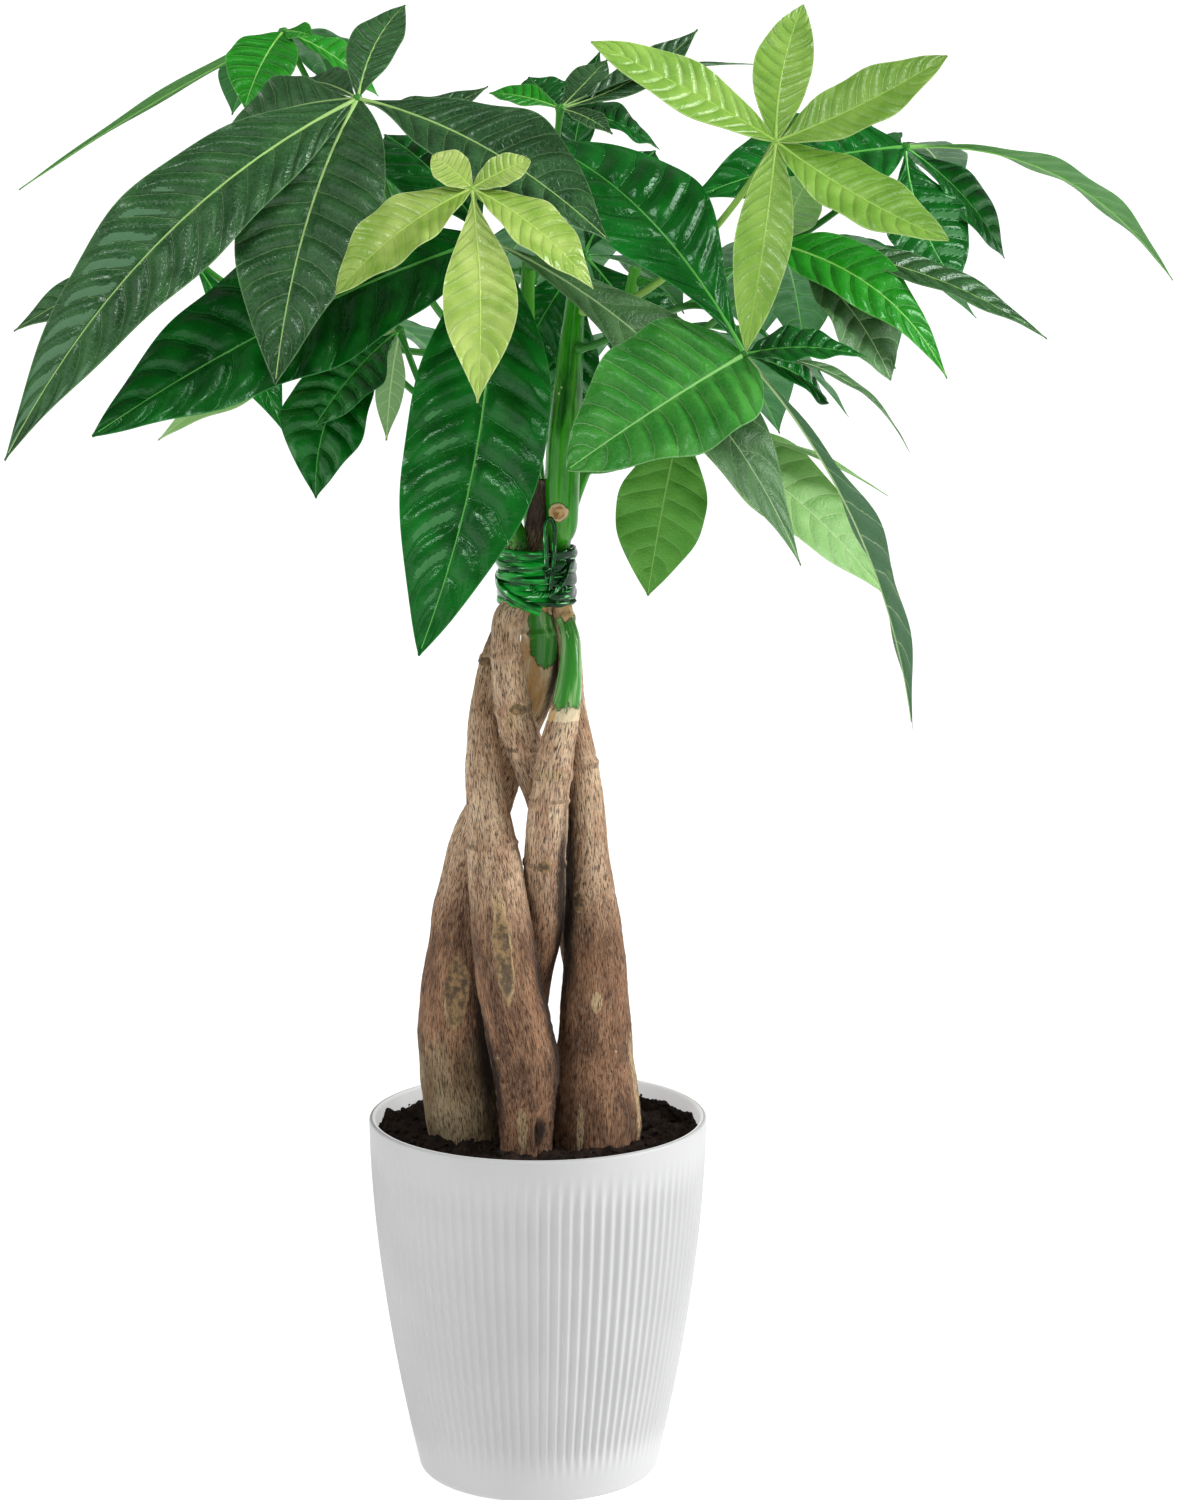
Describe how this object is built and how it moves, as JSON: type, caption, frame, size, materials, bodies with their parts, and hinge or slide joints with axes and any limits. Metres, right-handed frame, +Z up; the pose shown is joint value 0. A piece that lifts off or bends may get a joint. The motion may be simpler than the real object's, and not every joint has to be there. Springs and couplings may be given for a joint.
{
  "type": "potted money tree",
  "caption": "Potted money tree: braided trunks held by a green film tie, a wide crown of palm-shaped leaves, soil, and a tapered white pot with fine vertical flutes.",
  "frame": {"origin": "centre of the pot's flat base, on the surface it stands on", "axes": "+Z up along the pot's axis, -Y towards the front of the plant, +X to the right seen from the front"},
  "size_m": [0.5396, 0.3958, 0.6914],
  "materials": {
    "pot_plastic": "satin",
    "potting_soil": "matte",
    "bark": "matte",
    "tie_film": "gloss",
    "leaf_dark": "satin",
    "leaf_bright": "satin",
    "leaf_lime": "satin",
    "leaf_pale": "satin"
  },
  "bodies": {
    "root": {"pot": "pot_plastic", "soil": "potting_soil", "trunk_front_left": "bark", "trunk_left": "bark", "trunk_right": "bark", "trunk_center": "bark", "trunk_back": "bark", "tie": "tie_film", "leaf_upper_left": "leaf_dark", "leaf_front_new": "leaf_lime", "leaf_right_new": "leaf_lime", "leaf_front_right": "leaf_dark", "leaf_front": "leaf_dark", "leaf_lower_left": "leaf_dark", "leaf_far_left": "leaf_dark", "leaf_top_left": "leaf_bright", "leaf_top": "leaf_dark", "leaf_far_right": "leaf_dark", "leaf_right": "leaf_dark", "leaf_lower_right": "leaf_pale", "leaf_inner": "leaf_dark", "leaf_back_left": "leaf_dark", "leaf_back": "leaf_dark", "leaf_back_right": "leaf_dark", "leaf_low_back_left": "leaf_dark", "leaf_low_back_right": "leaf_dark"}
  },
  "joints": []
}
